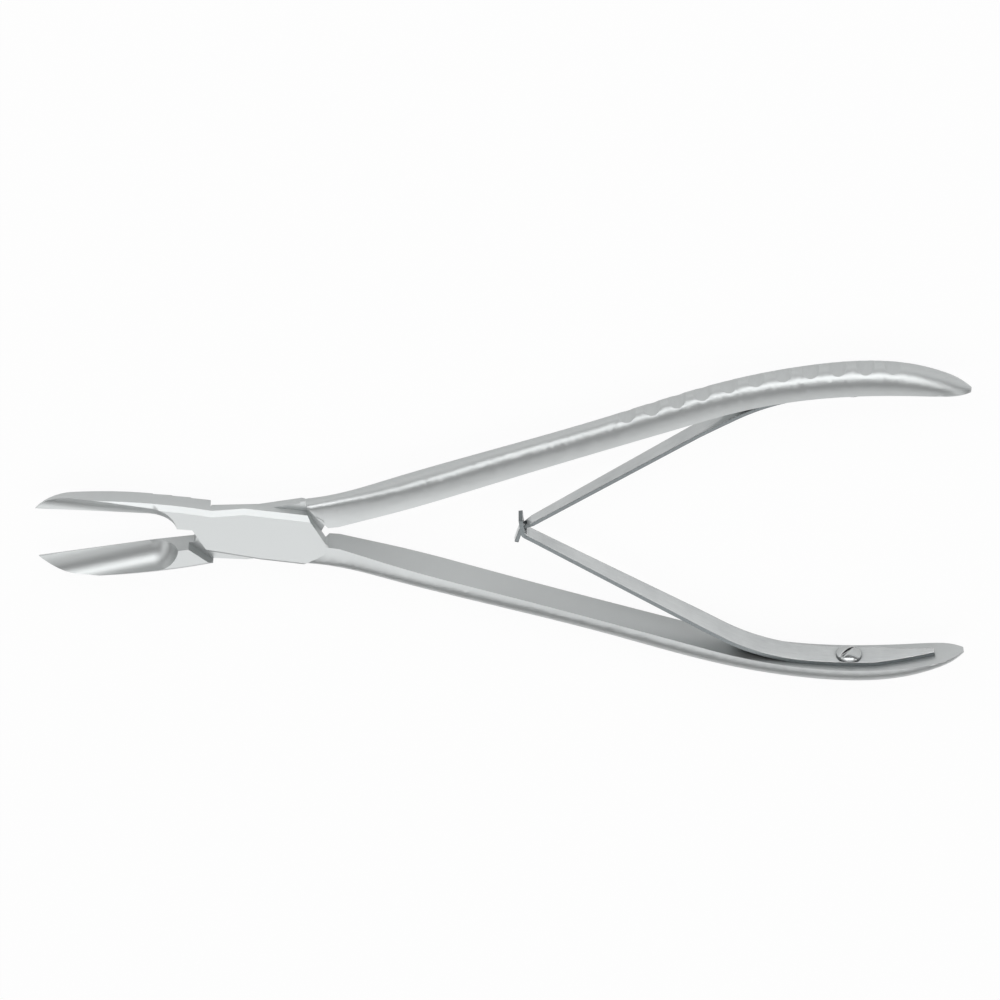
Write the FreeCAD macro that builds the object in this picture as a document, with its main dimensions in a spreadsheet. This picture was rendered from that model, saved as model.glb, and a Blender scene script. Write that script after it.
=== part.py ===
import FreeCAD, Part
import math
import os
import Sketcher

# Bone cutting forceps, lying flat. Z is the pivot's axis, +X runs to the handles,
# and +Y is the side of the front half's jaw. Each half is drawn closed, with its
# cutting edge on the line Y = 0, and is then turned open about the pivot.

SIZES = {
    # joint
    "joint_thickness": 4.9,
    "lap_clearance": 0.03,
    "open_half_angle": 7.8,
    "cheek_round": 0.8,
    # jaw, measured from the pivot along the cutting edge
    "jaw_length": 44.5,
    "tip_run": 7.7,
    "tip_depth": 4.6,
    "tip_radius": 10.3,
    "jaw_back_radius": 135.0,
    "back_bevel": 0.95,
    "jaw_under_round": 0.6,
    "taper_reach": 21.0,
    "taper_rise": 1.2,
    "edge_land": 0.25,
    "hollow_radius": 6.0,
    "hollow_tip_height": 3.2,
    "hollow_root_reach": 21.3,
    "hollow_root_height": 4.65,
    # cheek, the flat plate that laps over the other half
    "cheek_left": 12.5,
    "cheek_left_rise": 0.7,
    "front_corner_reach": 8.8,
    "front_corner_depth": 4.5,
    "rear_corner_reach": 7.4,
    "rear_corner_depth": 6.6,
    "cheek_low_middle": 5.4,
    "cheek_middle": 2.0,
    "cheek_high_left": 5.4,
    "crown_reach": 2.5,
    "cheek_crown": 6.75,
    "cheek_high_right": 6.5,
    "cheek_right": 10.4,
    "cheek_end": 15.3,
    "root_reach": 14.8,
    "root_depth": 2.4,
    "shoulder_depth": 5.6,
    # shoulders, where the full thickness begins
    "jaw_shoulder": 14.1,
    "jaw_shoulder_outer": 8.9,
    "jaw_shoulder_span": 5.85,
    "handle_shoulder": 15.75,
    "handle_shoulder_outer": 11.5,
    "handle_shoulder_span": 6.3,
    "lap_margin": 9.5,
    # pivot screw
    "pivot_shank_radius": 2.5,
    "pivot_thread_radius": 2.0,
    "pivot_head_radius": 3.9,
    "pivot_head_height": 1.1,
    "pivot_thread_length": 1.7,
    "pivot_bore_clearance": 0.05,
    "thread_clearance": 0.02,
    "spanner_hole_radius": 0.55,
    "spanner_hole_offset": 2.2,
    "spanner_hole_depth": 0.8,
    # handle, a bar with a flat inner face and a round back
    "handle_start": 17.6,
    "handle_gap": 0.4,
    "handle_slope": 11.56,
    "handle_straight": 80.05,
    "handle_bow_radius": 97.5,
    "handle_length": 148.0,
    "face_allowance": 0.6,
    "bar_start": 10.5,
    "bar_start_width": 4.7,
    "bar_start_depth": 5.5,
    "bar_start_fullness": 0.92,
    "collar_reach": 17.5,
    "collar_width": 5.2,
    "collar_depth": 5.9,
    "collar_fullness": 0.74,
    "neck_reach": 30.0,
    "neck_width": 7.0,
    "neck_depth": 5.3,
    "neck_fullness": 0.66,
    "bar_reach": 51.0,
    "bar_width": 7.2,
    "bar_depth": 5.05,
    "bar_fullness": 0.60,
    "grip_start_reach": 76.0,
    "grip_start_width": 7.2,
    "grip_depth": 4.75,
    "grip_fullness": 0.5523,
    "grip_middle_reach": 101.0,
    "grip_middle_width": 7.8,
    "palm_reach": 118.0,
    "palm_width": 8.5,
    "heel_reach": 130.5,
    "heel_width": 8.7,
    "end_taper_reach": 137.5,
    "end_taper_width": 8.2,
    "end_taper_depth": 4.0,
    "end_round_reach": 142.3,
    "end_round_width": 7.2,
    "end_round_depth": 2.9,
    "end_nose_reach": 145.8,
    "end_nose_width": 5.0,
    "end_nose_depth": 1.8,
    "end_tip_width": 1.6,
    "end_tip_depth": 0.7,
    # grip notches on the back of the rear half's handle
    "notch_count": 11,
    "notch_start_reach": 80.1,
    "notch_pitch": 5.25,
    "notch_radius": 2.2,
    "notch_cut": 0.95,
    # leaf springs
    "leaf_thickness": 0.85,
    "leaf_seat_clearance": 0.03,
    "leaf_foot_end": 142.3,
    "leaf_taper_start": 130.0,
    "leaf_foot_width": 5.3,
    "leaf_foot_tip_width": 1.4,
    "leaf_lift_off": 116.0,
    "leaf_bend_radius": 42.0,
    "leaf_flex_reach": 99.5,
    "leaf_flex_gap": 0.3,
    "leaf_arm_straight": 6.5,
    "leaf_arm_width": 5.7,
    "leaf_arm_end_reach": 57.0,
    "leaf_arm_tip_width": 3.5,
    "leaf_end_reach": 51.0,
    # hooked ends of the leaves, which meet on the mid-line
    "tab_meeting": 55.0,
    "tab_drop": 1.4,
    "tab_bend": 51.0,
    "tab_length": 3.2,
    "hook_meeting": 54.5,
    "hook_drop": 0.85,
    "hook_bend": 40.0,
    "hook_length": 2.9,
    "hook_bend_radius": 1.75,
    "hook_width": 1.7,
    "hook_start_reach": 55.4,
    "hook_shoulder": 0.6,
    "hook_arm_tip_width": 2.8,
    "hook_arm_width": 4.4,
    "window_centre": 54.3,
    "window_width": 2.4,
    "window_height": 2.9,
    "window_rise": 0.4,
    # spring screws
    "screw_reach": 124.9,
    "screw_head_radius": 2.6,
    "screw_rim_height": 0.4,
    "screw_dome_height": 1.0,
    "screw_dome_radius": 3.88,
    "screw_shank_radius": 1.45,
    "screw_shank_length": 3.9,
    "screw_slot_width": 0.8,
    "screw_slot_depth": 0.85,
    "screw_slot_angle": 44.0,
    "screw_hole_clearance": 0.1,
    "screw_head_lift": 0.04,
    "screw_tap_depth": 3.25,
}

doc = FreeCAD.newDocument("bone_cutting_forceps")
sheet = doc.addObject("Spreadsheet::Sheet", "sizes")
for row, (alias, amount) in enumerate(SIZES.items(), start=1):
    sheet.set("A%d" % row, alias)
    sheet.set("B%d" % row, str(amount))
    sheet.setAlias("B%d" % row, alias)
doc.recompute()


def size(name):
    return float(getattr(sheet, name))


def value(term):
    """Adds up a term such as '-jaw_length + tip_run'."""
    total = 0.0
    sign = 1.0
    for word in term.split():
        if word in ("+", "-"):
            sign = 1.0 if word == "+" else -1.0
            continue
        if word.startswith("-"):
            sign = -sign
            word = word[1:]
        if word == "zero":
            amount = 0.0
        elif word.startswith("half:"):
            amount = size(word[5:]) / 2
        else:
            amount = size(word)
        total += sign * amount
        sign = 1.0
    return total


def formula(term, flip=1):
    """Writes the same term as an expression on the sheet, mirrored when flip is -1."""
    words = []
    for word in term.split():
        bare = word.lstrip("-")
        if word in ("+", "-"):
            words.append(word)
        elif bare == "zero":
            words.append(word.replace("zero", "0"))
        elif bare.startswith("half:"):
            words.append(word.replace(bare, "sizes." + bare[5:] + " / 2"))
        else:
            words.append(word.replace(bare, "sizes." + bare))
    text = " ".join(words)
    return text if flip == 1 else "-(" + text + ")"


def plane_of(body, role):
    return [part for part in body.Origin.OriginFeatures if part.Role == role][0]


def sketch_on(body, role, name):
    sketch = body.newObject("Sketcher::SketchObject", name)
    sketch.AttachmentSupport = [(plane_of(body, role), "")]
    sketch.MapMode = "FlatFace"
    return sketch


def vector(x, y, z=0.0):
    return FreeCAD.Vector(x, y, z)


NEAR = 0.001


# Outline plates: a sketch whose corners are bound to the sheet, padded flat

def add_side(sketch, start, end, radius, flip):
    if radius is None:
        return sketch.addGeometry(Part.LineSegment(start, end), False)
    chord = end.sub(start)
    side = vector(-chord.y, chord.x).normalize().multiply(flip)
    sagitta = size(radius) - math.sqrt(size(radius) ** 2 - chord.Length ** 2 / 4)
    middle = start.add(chord.multiply(0.5)).add(side.multiply(sagitta))
    return sketch.addGeometry(Part.Arc(start, middle, end), False)


def outline_sketch(body, role, name, corners, flip=1):
    """Each corner is (x term, y term) or (x term, y term, radius of the side that follows)."""
    sketch = sketch_on(body, role, name)
    points = [vector(value(corner[0]), value(corner[1]) * flip) for corner in corners]
    count = len(corners)
    for index, corner in enumerate(corners):
        radius = corner[2] if len(corner) > 2 else None
        add_side(sketch, points[index], points[(index + 1) % count], radius, flip)
    for index, corner in enumerate(corners):
        # an arc that runs clockwise is stored the other way round, so its ends are matched by place
        end_here = end_of(sketch, index, points[(index + 1) % count])
        start_next = end_of(sketch, (index + 1) % count, points[(index + 1) % count])
        sketch.addConstraint(Sketcher.Constraint("Coincident", index, end_here, (index + 1) % count, start_next))
        if len(corner) > 2:
            number = sketch.addConstraint(Sketcher.Constraint("Radius", index, size(corner[2])))
            sketch.setExpression("Constraints[%d]" % number, "sizes." + corner[2])
    for index, corner in enumerate(corners):
        place = end_of(sketch, index, points[index])
        for axis, term, sign in (("DistanceX", corner[0], 1), ("DistanceY", corner[1], flip)):
            amount = value(term) * sign
            number = sketch.addConstraint(Sketcher.Constraint(axis, -1, 1, index, place, amount))
            sketch.setExpression("Constraints[%d]" % number, formula(term, sign))
    return sketch


def end_of(sketch, index, point):
    for place in (1, 2):
        if sketch.getPoint(index, place).sub(point).Length < NEAR:
            return place
    raise RuntimeError("no end of side %d lies at %s" % (index, point))


def pad(body, sketch, name, length, midplane=False):
    feature = body.newObject("PartDesign::Pad", name)
    feature.Profile = sketch
    feature.Midplane = midplane
    feature.setExpression("Length", length)
    sketch.Visibility = False
    doc.recompute()
    return feature


def plate(name, corners, length, bottom="0", flip=1):
    body = doc.addObject("PartDesign::Body", name)
    sketch = outline_sketch(body, "XY_Plane", name + "_outline", corners, flip)
    pad(body, sketch, name + "_pad", length)
    body.setExpression("Placement.Base.z", bottom)
    return body


# One half: blank with jaw and cheek, lap cut, hollow grinding and handle

def blank_corners(side):
    """Outline of a half's jaw and cheek. The cheek's corner beside the jaw differs from front to rear."""
    return [
        ("-jaw_length", "zero", "tip_radius"),
        ("-jaw_length + tip_run", "tip_depth", "jaw_back_radius"),
        ("-jaw_shoulder_outer", "cheek_high_left"),
        ("-crown_reach", "cheek_crown"),
        ("cheek_right", "cheek_high_right"),
        ("cheek_end", "-handle_gap"),
        ("root_reach", "-root_depth"),
        ("bar_start", "-shoulder_depth"),
        ("cheek_middle", "-cheek_low_middle"),
        ("-%s_corner_reach" % side, "-%s_corner_depth" % side),
        ("-cheek_left", "cheek_left_rise"),
    ]


UNDERSIDE = [
    ("-taper_reach", "zero"),
    ("-jaw_length", "taper_rise"),
    ("-jaw_length - lap_margin", "taper_rise"),
    ("-jaw_length - lap_margin", "-lap_margin"),
    ("-taper_reach", "-lap_margin"),
]

LAP = [
    ("-jaw_shoulder", "zero"),
    ("-jaw_shoulder_outer", "jaw_shoulder_span"),
    ("-jaw_shoulder_outer", "lap_margin"),
    ("handle_shoulder", "lap_margin"),
    ("handle_shoulder", "zero"),
    ("handle_shoulder_outer", "-handle_shoulder_span"),
    ("handle_shoulder_outer", "-lap_margin"),
    ("-jaw_shoulder", "-lap_margin"),
]


def break_edges(body, kind, name, flip, corners, height, amount):
    """Rounds or bevels the outline's edges at one height that run through these corners."""
    outline = body.Tip
    names = []
    for number, edge in enumerate(outline.Shape.Edges, start=1):
        ends = [(vertex.X, vertex.Y * flip) for vertex in edge.Vertexes]
        level = all(abs(vertex.Z - height) < NEAR for vertex in edge.Vertexes)
        for start, end in zip(corners, corners[1:]):
            if level and len(ends) == 2 and (joins(ends, start, end) or joins(ends, end, start)):
                names.append("Edge%d" % number)
    feature = body.newObject("PartDesign::" + kind, name)
    feature.Base = (outline, names)
    feature.setExpression("Radius" if kind == "Fillet" else "Size", "sizes." + amount)
    doc.recompute()


def joins(ends, start, end):
    return math.dist(ends[0], start) < NEAR and math.dist(ends[1], end) < NEAR


def break_blank(blank, name, flip, outline):
    """The back is bevelled on top and rounded below, the cheek's other edge is rounded."""
    corners = [(value(corner[0]), value(corner[1])) for corner in outline]
    back, cheek = corners[:5], corners[7:10]
    top = size("joint_thickness")
    break_edges(blank, "Chamfer", name + "_back_bevel", flip, back, top, "back_bevel")
    break_edges(blank, "Fillet", name + "_under_round", flip, back, 0.0, "jaw_under_round")
    break_edges(blank, "Fillet", name + "_cheek_round", flip, cheek, top, "cheek_round")
    break_edges(blank, "Fillet", name + "_cheek_under_round", flip, cheek, 0.0, "cheek_round")


def along_jaw(reach, at_length, at_reach, from_reach):
    """Value on the line from at_reach, at from_reach from the pivot, to at_length at the tip."""
    share = (reach - from_reach) / (size("jaw_length") - from_reach)
    return at_reach + (at_length - at_reach) * share


def hollow_centre(reach, outer, height, flip):
    """Centre of the grinding wheel's section through the cutting edge and the outer corner."""
    edge = along_jaw(reach, 0.0, size("cheek_left_rise"), size("cheek_left"))
    land = size("edge_land") + along_jaw(reach, size("taper_rise"), 0.0, size("taper_reach"))
    run, rise = outer - edge, height - land
    chord = math.hypot(run, rise)
    away = math.sqrt(size("hollow_radius") ** 2 - chord ** 2 / 4)
    across = (outer + edge) / 2 - rise / chord * away
    up = (height + land) / 2 + run / chord * away
    return vector(-reach, across * flip, up)


def hollow_tool(name, flip):
    """A round-ended cylinder that grinds the jaw hollow from the tip to the root."""
    tip_reach = size("jaw_length") - size("tip_run")
    root_reach = size("hollow_root_reach")
    slope = (size("cheek_high_left") - size("tip_depth")) / (tip_reach - size("jaw_shoulder_outer"))
    root_outer = size("tip_depth") + slope * (tip_reach - root_reach)
    tip = hollow_centre(tip_reach, size("tip_depth"), size("hollow_tip_height"), flip)
    root = hollow_centre(root_reach, root_outer, size("hollow_root_height"), flip)
    axis = tip.sub(root)
    beyond = size("jaw_length") / axis.Length
    shaft = Part.makeCylinder(size("hollow_radius"), axis.Length * beyond, root, axis)
    ball = Part.makeSphere(size("hollow_radius"), root)
    feature = doc.addObject("Part::Feature", name)
    feature.Shape = shaft.fuse(ball)
    return feature


def underside_tool(name):
    """The space under the jaw, whose underside rises towards the tip."""
    body = doc.addObject("PartDesign::Body", name)
    sketch = outline_sketch(body, "XZ_Plane", name + "_outline", UNDERSIDE)
    pad(body, sketch, name + "_pad", "4 * sizes.lap_margin", True)
    return body


# Handle: stations along a straight line and an arc

def face_point(reach, offset=0.0):
    """Point and heading on the inner face at a reach along X, moved off the face by offset."""
    slope = math.radians(size("handle_slope"))
    start = vector(size("handle_start"), -size("handle_gap"))
    bend_x = start.x + size("handle_straight") * math.cos(slope)
    bend_y = start.y - size("handle_straight") * math.sin(slope)
    if reach <= start.x:
        point = vector(reach, start.y)
        angle = 0.0
    elif reach <= bend_x:
        point = vector(reach, start.y - (reach - start.x) * math.tan(slope))
        angle = -slope
    else:
        radius = size("handle_bow_radius")
        centre = vector(bend_x + radius * math.sin(slope), bend_y + radius * math.cos(slope))
        angle = math.asin((reach - centre.x) / radius)
        point = vector(reach, centre.y - radius * math.cos(angle))
    normal = vector(-math.sin(angle), math.cos(angle))
    return point.add(normal.multiply(offset)), angle


def section_poles(reach, width, depth, fullness, flip):
    """Poles of the back's two quarter curves, from one long edge over the crown to the other."""
    middle = size("joint_thickness") / 2
    origin, angle = face_point(reach)
    inward = vector(-math.sin(angle), math.cos(angle))
    half_width = width / 2
    spare = size("face_allowance")

    def at(side, out):
        point = origin.add(vector(inward.x, inward.y).multiply(-out))
        return vector(point.x, point.y * flip, middle + side)

    shoulder = fullness * (depth + spare) - spare
    near = half_width * fullness
    return [at(-half_width, -spare), at(-half_width, shoulder), at(-near, depth), at(0, depth),
            at(near, depth), at(half_width, shoulder), at(half_width, -spare)]


def run_through(points, marks):
    """Smooth curve through one pole of every station."""
    curve = Part.BSplineCurve()
    curve.interpolate(Points=points, Parameters=marks)
    return curve


def skin(curves):
    """Surface whose cross-sections have the curves as poles: a quarter curve or a flat."""
    degree = len(curves) - 1
    surface = Part.BSplineSurface()
    poles = [curve.getPoles() for curve in curves]
    lead = curves[0]
    surface.buildFromPolesMultsKnots(poles, [degree + 1, degree + 1], lead.getMultiplicities(),
                                     [0.0, 1.0], lead.getKnots(), False, False, degree, lead.Degree)
    return surface.toShape()


def cap(poles):
    """Flat end of the bar."""
    edges = []
    for quarter in (poles[:4], poles[3:]):
        curve = Part.BezierCurve()
        curve.setPoles(quarter)
        edges.append(curve.toShape())
    edges.append(Part.LineSegment(poles[6], poles[0]).toShape())
    return Part.Face(Part.Wire(edges))


STATIONS = [
    ("bar_start", "bar_start_width", "bar_start_depth", "bar_start_fullness"),
    ("collar_reach", "collar_width", "collar_depth", "collar_fullness"),
    ("neck_reach", "neck_width", "neck_depth", "neck_fullness"),
    ("bar_reach", "bar_width", "bar_depth", "bar_fullness"),
    ("grip_start_reach", "grip_start_width", "grip_depth", "grip_fullness"),
    ("grip_middle_reach", "grip_middle_width", "grip_depth", "grip_fullness"),
    ("palm_reach", "palm_width", "grip_depth", "grip_fullness"),
    ("heel_reach", "heel_width", "grip_depth", "grip_fullness"),
    ("end_taper_reach", "end_taper_width", "end_taper_depth", "grip_fullness"),
    ("end_round_reach", "end_round_width", "end_round_depth", "grip_fullness"),
    ("end_nose_reach", "end_nose_width", "end_nose_depth", "grip_fullness"),
    ("handle_length", "end_tip_width", "end_tip_depth", "grip_fullness"),
]


def handle_bar(name, flip):
    rows = [section_poles(*[size(term) for term in station], flip) for station in STATIONS]
    marks = [size(station[0]) for station in STATIONS]
    curves = [run_through([row[index] for row in rows], marks) for index in range(len(rows[0]))]
    faces = [skin(curves[:4]), skin(curves[3:]), skin([curves[6], curves[0]]), cap(rows[0]), cap(rows[-1])]
    shell = Part.Shell(faces)
    shell.sewShape()
    solid = Part.Solid(shell)
    if solid.Volume < 0:
        solid.reverse()
    feature = doc.addObject("Part::Feature", name)
    feature.Shape = solid
    return feature


def face_tool(name, flip):
    """The space on the inner side of the handle, which leaves its face flat."""
    lift = 3 * size("face_allowance")
    depth = size("heel_width") * 2
    last = size("handle_length") + lift
    bend = size("handle_start") + size("handle_straight") * math.cos(math.radians(size("handle_slope")))
    reaches = (size("cheek_end"), size("handle_start"), bend, (bend + last) / 2, last)
    low = [face_point(reach)[0] for reach in reaches]
    high = [face_point(reach, lift)[0] for reach in reaches]
    low = [vector(p.x, p.y * flip) for p in low]
    high = [vector(p.x, p.y * flip) for p in high]
    edges = [Part.LineSegment(low[0], low[1]), Part.LineSegment(low[1], low[2]),
             Part.Arc(low[2], low[3], low[4]), Part.LineSegment(low[4], high[4]),
             Part.Arc(high[4], high[3], high[2]), Part.LineSegment(high[2], high[1]),
             Part.LineSegment(high[1], high[0]), Part.LineSegment(high[0], low[0])]
    face = Part.Face(Part.Wire([edge.toShape() for edge in edges]))
    face.translate(vector(0, 0, size("joint_thickness") / 2 - depth / 2))
    feature = doc.addObject("Part::Feature", name)
    feature.Shape = face.extrude(vector(0, 0, depth))
    return feature


def drum(name, radius, height, bottom):
    """A cylinder about the pivot, for bores and counterbores."""
    cylinder = doc.addObject("Part::Cylinder", name)
    cylinder.setExpression("Radius", radius)
    cylinder.setExpression("Height", height)
    cylinder.setExpression("Placement.Base.z", bottom)
    return cylinder


def off_face(reach, offset, flip, turn=0.0):
    """Placement on the inner face whose local Z points away from the metal."""
    point, angle = face_point(reach, offset)
    facing = FreeCAD.Rotation(vector(0, 0, 1), math.degrees(angle) * flip)
    stand = FreeCAD.Rotation(vector(1, 0, 0), -90 * flip)
    spin = FreeCAD.Rotation(vector(0, 0, 1), turn)
    place = vector(point.x, point.y * flip, size("joint_thickness") / 2)
    return FreeCAD.Placement(place, facing.multiply(stand).multiply(spin))


def tap_hole(name, flip):
    hole = doc.addObject("Part::Cylinder", name)
    hole.setExpression("Radius", "sizes.screw_shank_radius + sizes.thread_clearance")
    hole.setExpression("Height", "sizes.screw_tap_depth + sizes.face_allowance")
    hole.Placement = off_face(size("screw_reach"), -size("screw_tap_depth"), flip)
    return hole


def notch_cutters(flip):
    """Round cutters across the crown of the grip."""
    cutters = []
    offset = -(size("grip_depth") + size("notch_radius") - size("notch_cut"))
    for index in range(int(size("notch_count"))):
        reach = size("notch_start_reach") + index * size("notch_pitch")
        point = face_point(reach, offset)[0]
        cutter = doc.addObject("Part::Cylinder", "notch_%02d" % (index + 1))
        cutter.setExpression("Radius", "sizes.notch_radius")
        cutter.setExpression("Height", "2 * sizes.heel_width")
        base = vector(point.x, point.y * flip, size("joint_thickness") / 2 - size("heel_width"))
        cutter.Placement = FreeCAD.Placement(base, FreeCAD.Rotation())
        cutters.append(cutter)
    return cutters


def turned(flip):
    """Placement that opens one half about the pivot."""
    angle = -size("open_half_angle") * flip
    return FreeCAD.Placement(vector(0, 0, 0), FreeCAD.Rotation(vector(0, 0, 1), angle))


def joined(name, members):
    fuse = doc.addObject("Part::MultiFuse", name)
    fuse.Shapes = members
    return fuse


def half(name, flip):
    front = flip == 1
    outline = blank_corners("front" if front else "rear")
    blank = plate(name + "_blank", outline, "sizes.joint_thickness", "0", flip)
    break_blank(blank, name, flip, outline)
    steel = joined(name + "_steel", [blank, handle_bar(name + "_bar", flip)])
    lap_height = "sizes.joint_thickness / 2 + sizes.lap_margin"
    lap_bottom = "-sizes.lap_margin" if front else "sizes.joint_thickness / 2 - sizes.lap_clearance"
    tools = [
        plate(name + "_lap", LAP, lap_height, lap_bottom, flip),
        hollow_tool(name + "_hollow", flip),
        underside_tool(name + "_underside"),
        face_tool(name + "_face", flip),
        tap_hole(name + "_tap", flip),
    ]
    if front:
        tools.append(drum("blind_thread", "sizes.pivot_thread_radius + sizes.thread_clearance",
                          "sizes.pivot_thread_length + 2 * sizes.pivot_bore_clearance",
                          "sizes.joint_thickness / 2"))
    else:
        tools.append(drum("pivot_bore", "sizes.pivot_shank_radius + sizes.pivot_bore_clearance",
                          "sizes.joint_thickness", "0"))
        tools.append(drum("pivot_counterbore", "sizes.pivot_head_radius + 2 * sizes.pivot_bore_clearance",
                          "sizes.pivot_head_height + sizes.pivot_bore_clearance + sizes.lap_margin",
                          "-sizes.lap_margin"))
        tools += notch_cutters(flip)
    cut = doc.addObject("Part::Cut", name)
    cut.Base = steel
    cut.Tool = joined(name + "_tools", tools)
    cut.Placement = turned(flip)
    return cut


# Screws: turned profiles with their driving slots

def turned_body(name, corners):
    body = doc.addObject("PartDesign::Body", name)
    sketch = outline_sketch(body, "XZ_Plane", name + "_profile", corners)
    feature = body.newObject("PartDesign::Revolution", name + "_turning")
    feature.Profile = sketch
    feature.ReferenceAxis = (sketch, ["V_Axis"])
    feature.Angle = 360.0
    doc.recompute()
    return body


def pivot_screw():
    profile = [
        ("zero", "zero"),
        ("pivot_head_radius", "zero"),
        ("pivot_head_radius", "pivot_head_height"),
        ("pivot_shank_radius", "pivot_head_height"),
        ("pivot_shank_radius", "half:joint_thickness"),
        ("pivot_thread_radius", "half:joint_thickness"),
        ("pivot_thread_radius", "half:joint_thickness + pivot_thread_length"),
        ("zero", "half:joint_thickness + pivot_thread_length"),
    ]
    body = turned_body("pivot_screw", profile)
    sketch = sketch_on(body, "XY_Plane", "spanner_holes")
    for index, side in enumerate((1, -1)):
        centre = vector(size("spanner_hole_offset") * side, 0)
        sketch.addGeometry(Part.Circle(centre, vector(0, 0, 1), size("spanner_hole_radius")), False)
        sketch.addConstraint(Sketcher.Constraint("PointOnObject", index, 3, -1))
        number = sketch.addConstraint(Sketcher.Constraint("Radius", index, size("spanner_hole_radius")))
        sketch.setExpression("Constraints[%d]" % number, "sizes.spanner_hole_radius")
        number = sketch.addConstraint(Sketcher.Constraint("DistanceX", -1, 1, index, 3, centre.x))
        sketch.setExpression("Constraints[%d]" % number, "%d * sizes.spanner_hole_offset" % side)
    holes = body.newObject("PartDesign::Pocket", "spanner_pockets")
    holes.Profile = sketch
    holes.Reversed = True
    holes.setExpression("Length", "sizes.spanner_hole_depth")
    doc.recompute()
    body.Placement = turned(1)
    return body


def spring_screw(name, flip):
    profile = [
        ("zero", "screw_rim_height + screw_dome_height", "screw_dome_radius"),
        ("screw_head_radius", "screw_rim_height"),
        ("screw_head_radius", "zero"),
        ("screw_shank_radius", "zero"),
        ("screw_shank_radius", "-screw_shank_length"),
        ("zero", "-screw_shank_length"),
    ]
    body = turned_body(name, profile)
    half_slot = [
        ("-screw_head_radius", "-half:screw_slot_width"),
        ("screw_head_radius", "-half:screw_slot_width"),
        ("screw_head_radius", "half:screw_slot_width"),
        ("-screw_head_radius", "half:screw_slot_width"),
    ]
    sketch = outline_sketch(body, "XY_Plane", name + "_slot_outline", half_slot)
    top = "sizes.screw_rim_height + sizes.screw_dome_height"
    sketch.setExpression("AttachmentOffset.Base.z", top)
    slot = body.newObject("PartDesign::Pocket", name + "_slot")
    slot.Profile = sketch
    slot.setExpression("Length", "sizes.screw_slot_depth")
    doc.recompute()
    seat = size("leaf_thickness") + 2 * size("leaf_seat_clearance") + size("screw_head_lift")
    body.Placement = turned(flip).multiply(off_face(size("screw_reach"), seat, flip, size("screw_slot_angle")))
    return body


# Leaf springs: a bent strip, drawn as lines and arcs at constant thickness

def strip(start, angle, runs, thickness):
    """Face of a strip whose left side follows the runs: ('line', length) or ('arc', radius, turn)."""
    left, right = [], []
    point = start
    for run in runs:
        normal = vector(-math.sin(angle), math.cos(angle))
        if run[0] == "line":
            end = point.add(vector(math.cos(angle), math.sin(angle)).multiply(run[1]))
            shift = vector(normal.x, normal.y).multiply(-thickness)
            left.append(Part.LineSegment(point, end))
            right.append(Part.LineSegment(point.add(shift), end.add(shift)))
            point = end
            continue
        radius, turn = run[1], run[2]
        side = 1 if turn > 0 else -1
        centre = point.add(vector(normal.x, normal.y).multiply(radius * side))
        marks = []
        for share in (0, 0.5, 1):
            away = angle + turn * share - side * math.pi / 2
            marks.append(vector(math.cos(away), math.sin(away)))
        outer = radius + thickness * side
        left.append(Part.Arc(*[centre.add(vector(m.x, m.y).multiply(radius)) for m in marks]))
        right.append(Part.Arc(*[centre.add(vector(m.x, m.y).multiply(outer)) for m in marks]))
        point = centre.add(vector(marks[2].x, marks[2].y).multiply(radius))
        angle += turn
    first = Part.LineSegment(right[0].StartPoint, left[0].StartPoint)
    last = Part.LineSegment(left[-1].EndPoint, right[-1].EndPoint)
    edges = [first] + left + [last] + right[::-1]
    return Part.Face(Part.Wire(Part.__sortEdges__([edge.toShape() for edge in edges])))


def lift_off():
    """Where the leaf leaves the handle: its underside, the heading there and the bend's centre."""
    point, angle = face_point(size("leaf_lift_off"), size("leaf_seat_clearance"))
    up = vector(-math.sin(angle), math.cos(angle))
    return point, angle, point.add(up.multiply(size("leaf_bend_radius")))


def flex_angle(centre):
    """Angle about the bend's centre at which the leaf crosses the flex line."""
    return -math.acos((size("leaf_flex_reach") - centre.x) / size("leaf_bend_radius"))


def foot_strip(name, flip):
    """The clamped end follows the handle's face, lifts off and stops at the flex line."""
    start, angle = face_point(size("leaf_foot_end"), size("leaf_seat_clearance"))
    lift_angle, centre = lift_off()[1:]
    radius = size("handle_bow_radius") - size("leaf_seat_clearance")
    runs = [("arc", radius, lift_angle - angle),
            ("arc", size("leaf_bend_radius"), flex_angle(centre) - (lift_angle - math.pi / 2))]
    return strip_feature(name, start, angle + math.pi, runs, flip)


def arm_strip(name, flip, end):
    """The free arm runs straight to the mid-line and ends in a bend and a short straight."""
    radius = size("leaf_bend_radius")
    centre = lift_off()[2]
    opened = math.radians(size("open_half_angle"))
    across, drop = size(end + "_meeting"), size(end + "_drop")
    target = vector(across * math.cos(opened) + drop * math.sin(opened),
                    across * math.sin(opened) - drop * math.cos(opened))
    way = target.sub(centre)
    towards = math.atan2(way.y, way.x)
    if towards > 0:
        towards -= 2 * math.pi
    leave = towards + math.acos(radius / way.Length)
    begin = flex_angle(centre) - size("leaf_flex_gap") / radius
    start = centre.add(vector(math.cos(begin), math.sin(begin)).multiply(radius))
    runs = [("arc", radius, leave - begin),
            ("line", math.sqrt(way.Length ** 2 - radius ** 2)),
            ("arc", size("hook_bend_radius"), -math.radians(size(end + "_bend"))),
            ("line", size(end + "_length"))]
    return strip_feature(name, start, begin - math.pi / 2, runs, flip)


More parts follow.
